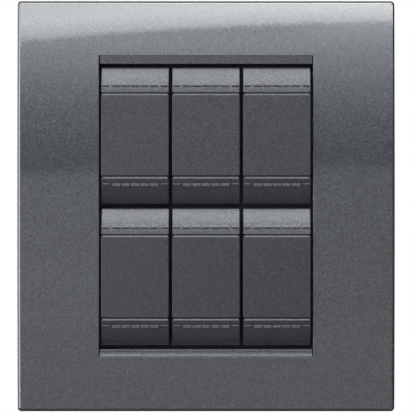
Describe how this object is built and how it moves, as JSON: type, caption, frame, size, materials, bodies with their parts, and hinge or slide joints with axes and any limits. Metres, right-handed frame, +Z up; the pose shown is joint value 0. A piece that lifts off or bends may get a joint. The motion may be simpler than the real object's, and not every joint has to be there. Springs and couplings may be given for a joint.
{
  "type": "switch frame",
  "caption": "Wall switch frame: a crowned metallic grey cover plate clipped over a support frame that holds rows of rocker switches with grooved keys.",
  "frame": {"origin": "middle of the cover plate on the wall's plane, which is the middle of the box screws' pattern", "axes": "+X to the right seen from the room, +Z up the wall, +Y into the wall, so the front faces -Y"},
  "size_m": [0.12, 0.0373, 0.1306],
  "materials": {
    "plate_lacquer": "metallic lacquer, glossy",
    "key_lacquer": "metallic lacquer, satin",
    "support_plastic": "fine grain",
    "rocker_plastic": "smooth moulding",
    "plunger_plastic": "natural, low friction",
    "spring_steel": "drawn wire",
    "contact_brass": "stamped copper alloy",
    "yoke_plastic": "smooth moulding",
    "housing_plastic": "fine grain",
    "terminal_brass": "stamped",
    "screw_steel": "zinc plated"
  },
  "bodies": {
    "frame": {"cover_plate": "plate_lacquer", "support_frame": "support_plastic", "terminal_screws": "screw_steel", "front_yoke_1": "yoke_plastic", "switch_housing_1": "housing_plastic", "common_terminal_1": "terminal_brass", "switched_terminal_1": "terminal_brass", "front_yoke_2": "yoke_plastic", "switch_housing_2": "housing_plastic", "common_terminal_2": "terminal_brass", "switched_terminal_2": "terminal_brass", "front_yoke_3": "yoke_plastic", "switch_housing_3": "housing_plastic", "common_terminal_3": "terminal_brass", "switched_terminal_3": "terminal_brass", "front_yoke_4": "yoke_plastic", "switch_housing_4": "housing_plastic", "common_terminal_4": "terminal_brass", "switched_terminal_4": "terminal_brass", "front_yoke_5": "yoke_plastic", "switch_housing_5": "housing_plastic", "common_terminal_5": "terminal_brass", "switched_terminal_5": "terminal_brass", "front_yoke_6": "yoke_plastic", "switch_housing_6": "housing_plastic", "common_terminal_6": "terminal_brass", "switched_terminal_6": "terminal_brass"},
    "key_1": {"key_cover_1": "key_lacquer", "rocker_1": "rocker_plastic", "plunger_1": "plunger_plastic", "plunger_spring_1": "spring_steel"},
    "contact_1": {"contact_lever_1": "contact_brass"},
    "key_2": {"key_cover_2": "key_lacquer", "rocker_2": "rocker_plastic", "plunger_2": "plunger_plastic", "plunger_spring_2": "spring_steel"},
    "contact_2": {"contact_lever_2": "contact_brass"},
    "key_3": {"key_cover_3": "key_lacquer", "rocker_3": "rocker_plastic", "plunger_3": "plunger_plastic", "plunger_spring_3": "spring_steel"},
    "contact_3": {"contact_lever_3": "contact_brass"},
    "key_4": {"key_cover_4": "key_lacquer", "rocker_4": "rocker_plastic", "plunger_4": "plunger_plastic", "plunger_spring_4": "spring_steel"},
    "contact_4": {"contact_lever_4": "contact_brass"},
    "key_5": {"key_cover_5": "key_lacquer", "rocker_5": "rocker_plastic", "plunger_5": "plunger_plastic", "plunger_spring_5": "spring_steel"},
    "contact_5": {"contact_lever_5": "contact_brass"},
    "key_6": {"key_cover_6": "key_lacquer", "rocker_6": "rocker_plastic", "plunger_6": "plunger_plastic", "plunger_spring_6": "spring_steel"},
    "contact_6": {"contact_lever_6": "contact_brass"}
  },
  "joints": [
    {"name": "key_1_tilt", "type": "hinge", "parent": "frame", "child": "key_1", "pos_m": [-0.0225, -0.005, 0.0225], "axis": [1, 0, 0], "range_deg": [-4, 4]},
    {"name": "contact_1_tilt", "type": "hinge", "parent": "frame", "child": "contact_1", "pos_m": [-0.0225, 0.00725, 0.0225], "axis": [1, 0, 0], "range_deg": [-12, 12]},
    {"name": "key_2_tilt", "type": "hinge", "parent": "frame", "child": "key_2", "pos_m": [0, -0.005, 0.0225], "axis": [1, 0, 0], "range_deg": [-4, 4]},
    {"name": "contact_2_tilt", "type": "hinge", "parent": "frame", "child": "contact_2", "pos_m": [0, 0.00725, 0.0225], "axis": [1, 0, 0], "range_deg": [-12, 12]},
    {"name": "key_3_tilt", "type": "hinge", "parent": "frame", "child": "key_3", "pos_m": [0.0225, -0.005, 0.0225], "axis": [1, 0, 0], "range_deg": [-4, 4]},
    {"name": "contact_3_tilt", "type": "hinge", "parent": "frame", "child": "contact_3", "pos_m": [0.0225, 0.00725, 0.0225], "axis": [1, 0, 0], "range_deg": [-12, 12]},
    {"name": "key_4_tilt", "type": "hinge", "parent": "frame", "child": "key_4", "pos_m": [-0.0225, -0.005, -0.0225], "axis": [1, 0, 0], "range_deg": [-4, 4]},
    {"name": "contact_4_tilt", "type": "hinge", "parent": "frame", "child": "contact_4", "pos_m": [-0.0225, 0.00725, -0.0225], "axis": [1, 0, 0], "range_deg": [-12, 12]},
    {"name": "key_5_tilt", "type": "hinge", "parent": "frame", "child": "key_5", "pos_m": [0, -0.005, -0.0225], "axis": [1, 0, 0], "range_deg": [-4, 4]},
    {"name": "contact_5_tilt", "type": "hinge", "parent": "frame", "child": "contact_5", "pos_m": [0, 0.00725, -0.0225], "axis": [1, 0, 0], "range_deg": [-12, 12]},
    {"name": "key_6_tilt", "type": "hinge", "parent": "frame", "child": "key_6", "pos_m": [0.0225, -0.005, -0.0225], "axis": [1, 0, 0], "range_deg": [-4, 4]},
    {"name": "contact_6_tilt", "type": "hinge", "parent": "frame", "child": "contact_6", "pos_m": [0.0225, 0.00725, -0.0225], "axis": [1, 0, 0], "range_deg": [-12, 12]}
  ],
  "couplings": [
    {"joint": "contact_1_tilt", "follows": "key_1_tilt", "ratio": -3},
    {"joint": "contact_2_tilt", "follows": "key_2_tilt", "ratio": -3},
    {"joint": "contact_3_tilt", "follows": "key_3_tilt", "ratio": -3},
    {"joint": "contact_4_tilt", "follows": "key_4_tilt", "ratio": -3},
    {"joint": "contact_5_tilt", "follows": "key_5_tilt", "ratio": -3},
    {"joint": "contact_6_tilt", "follows": "key_6_tilt", "ratio": -3}
  ]
}
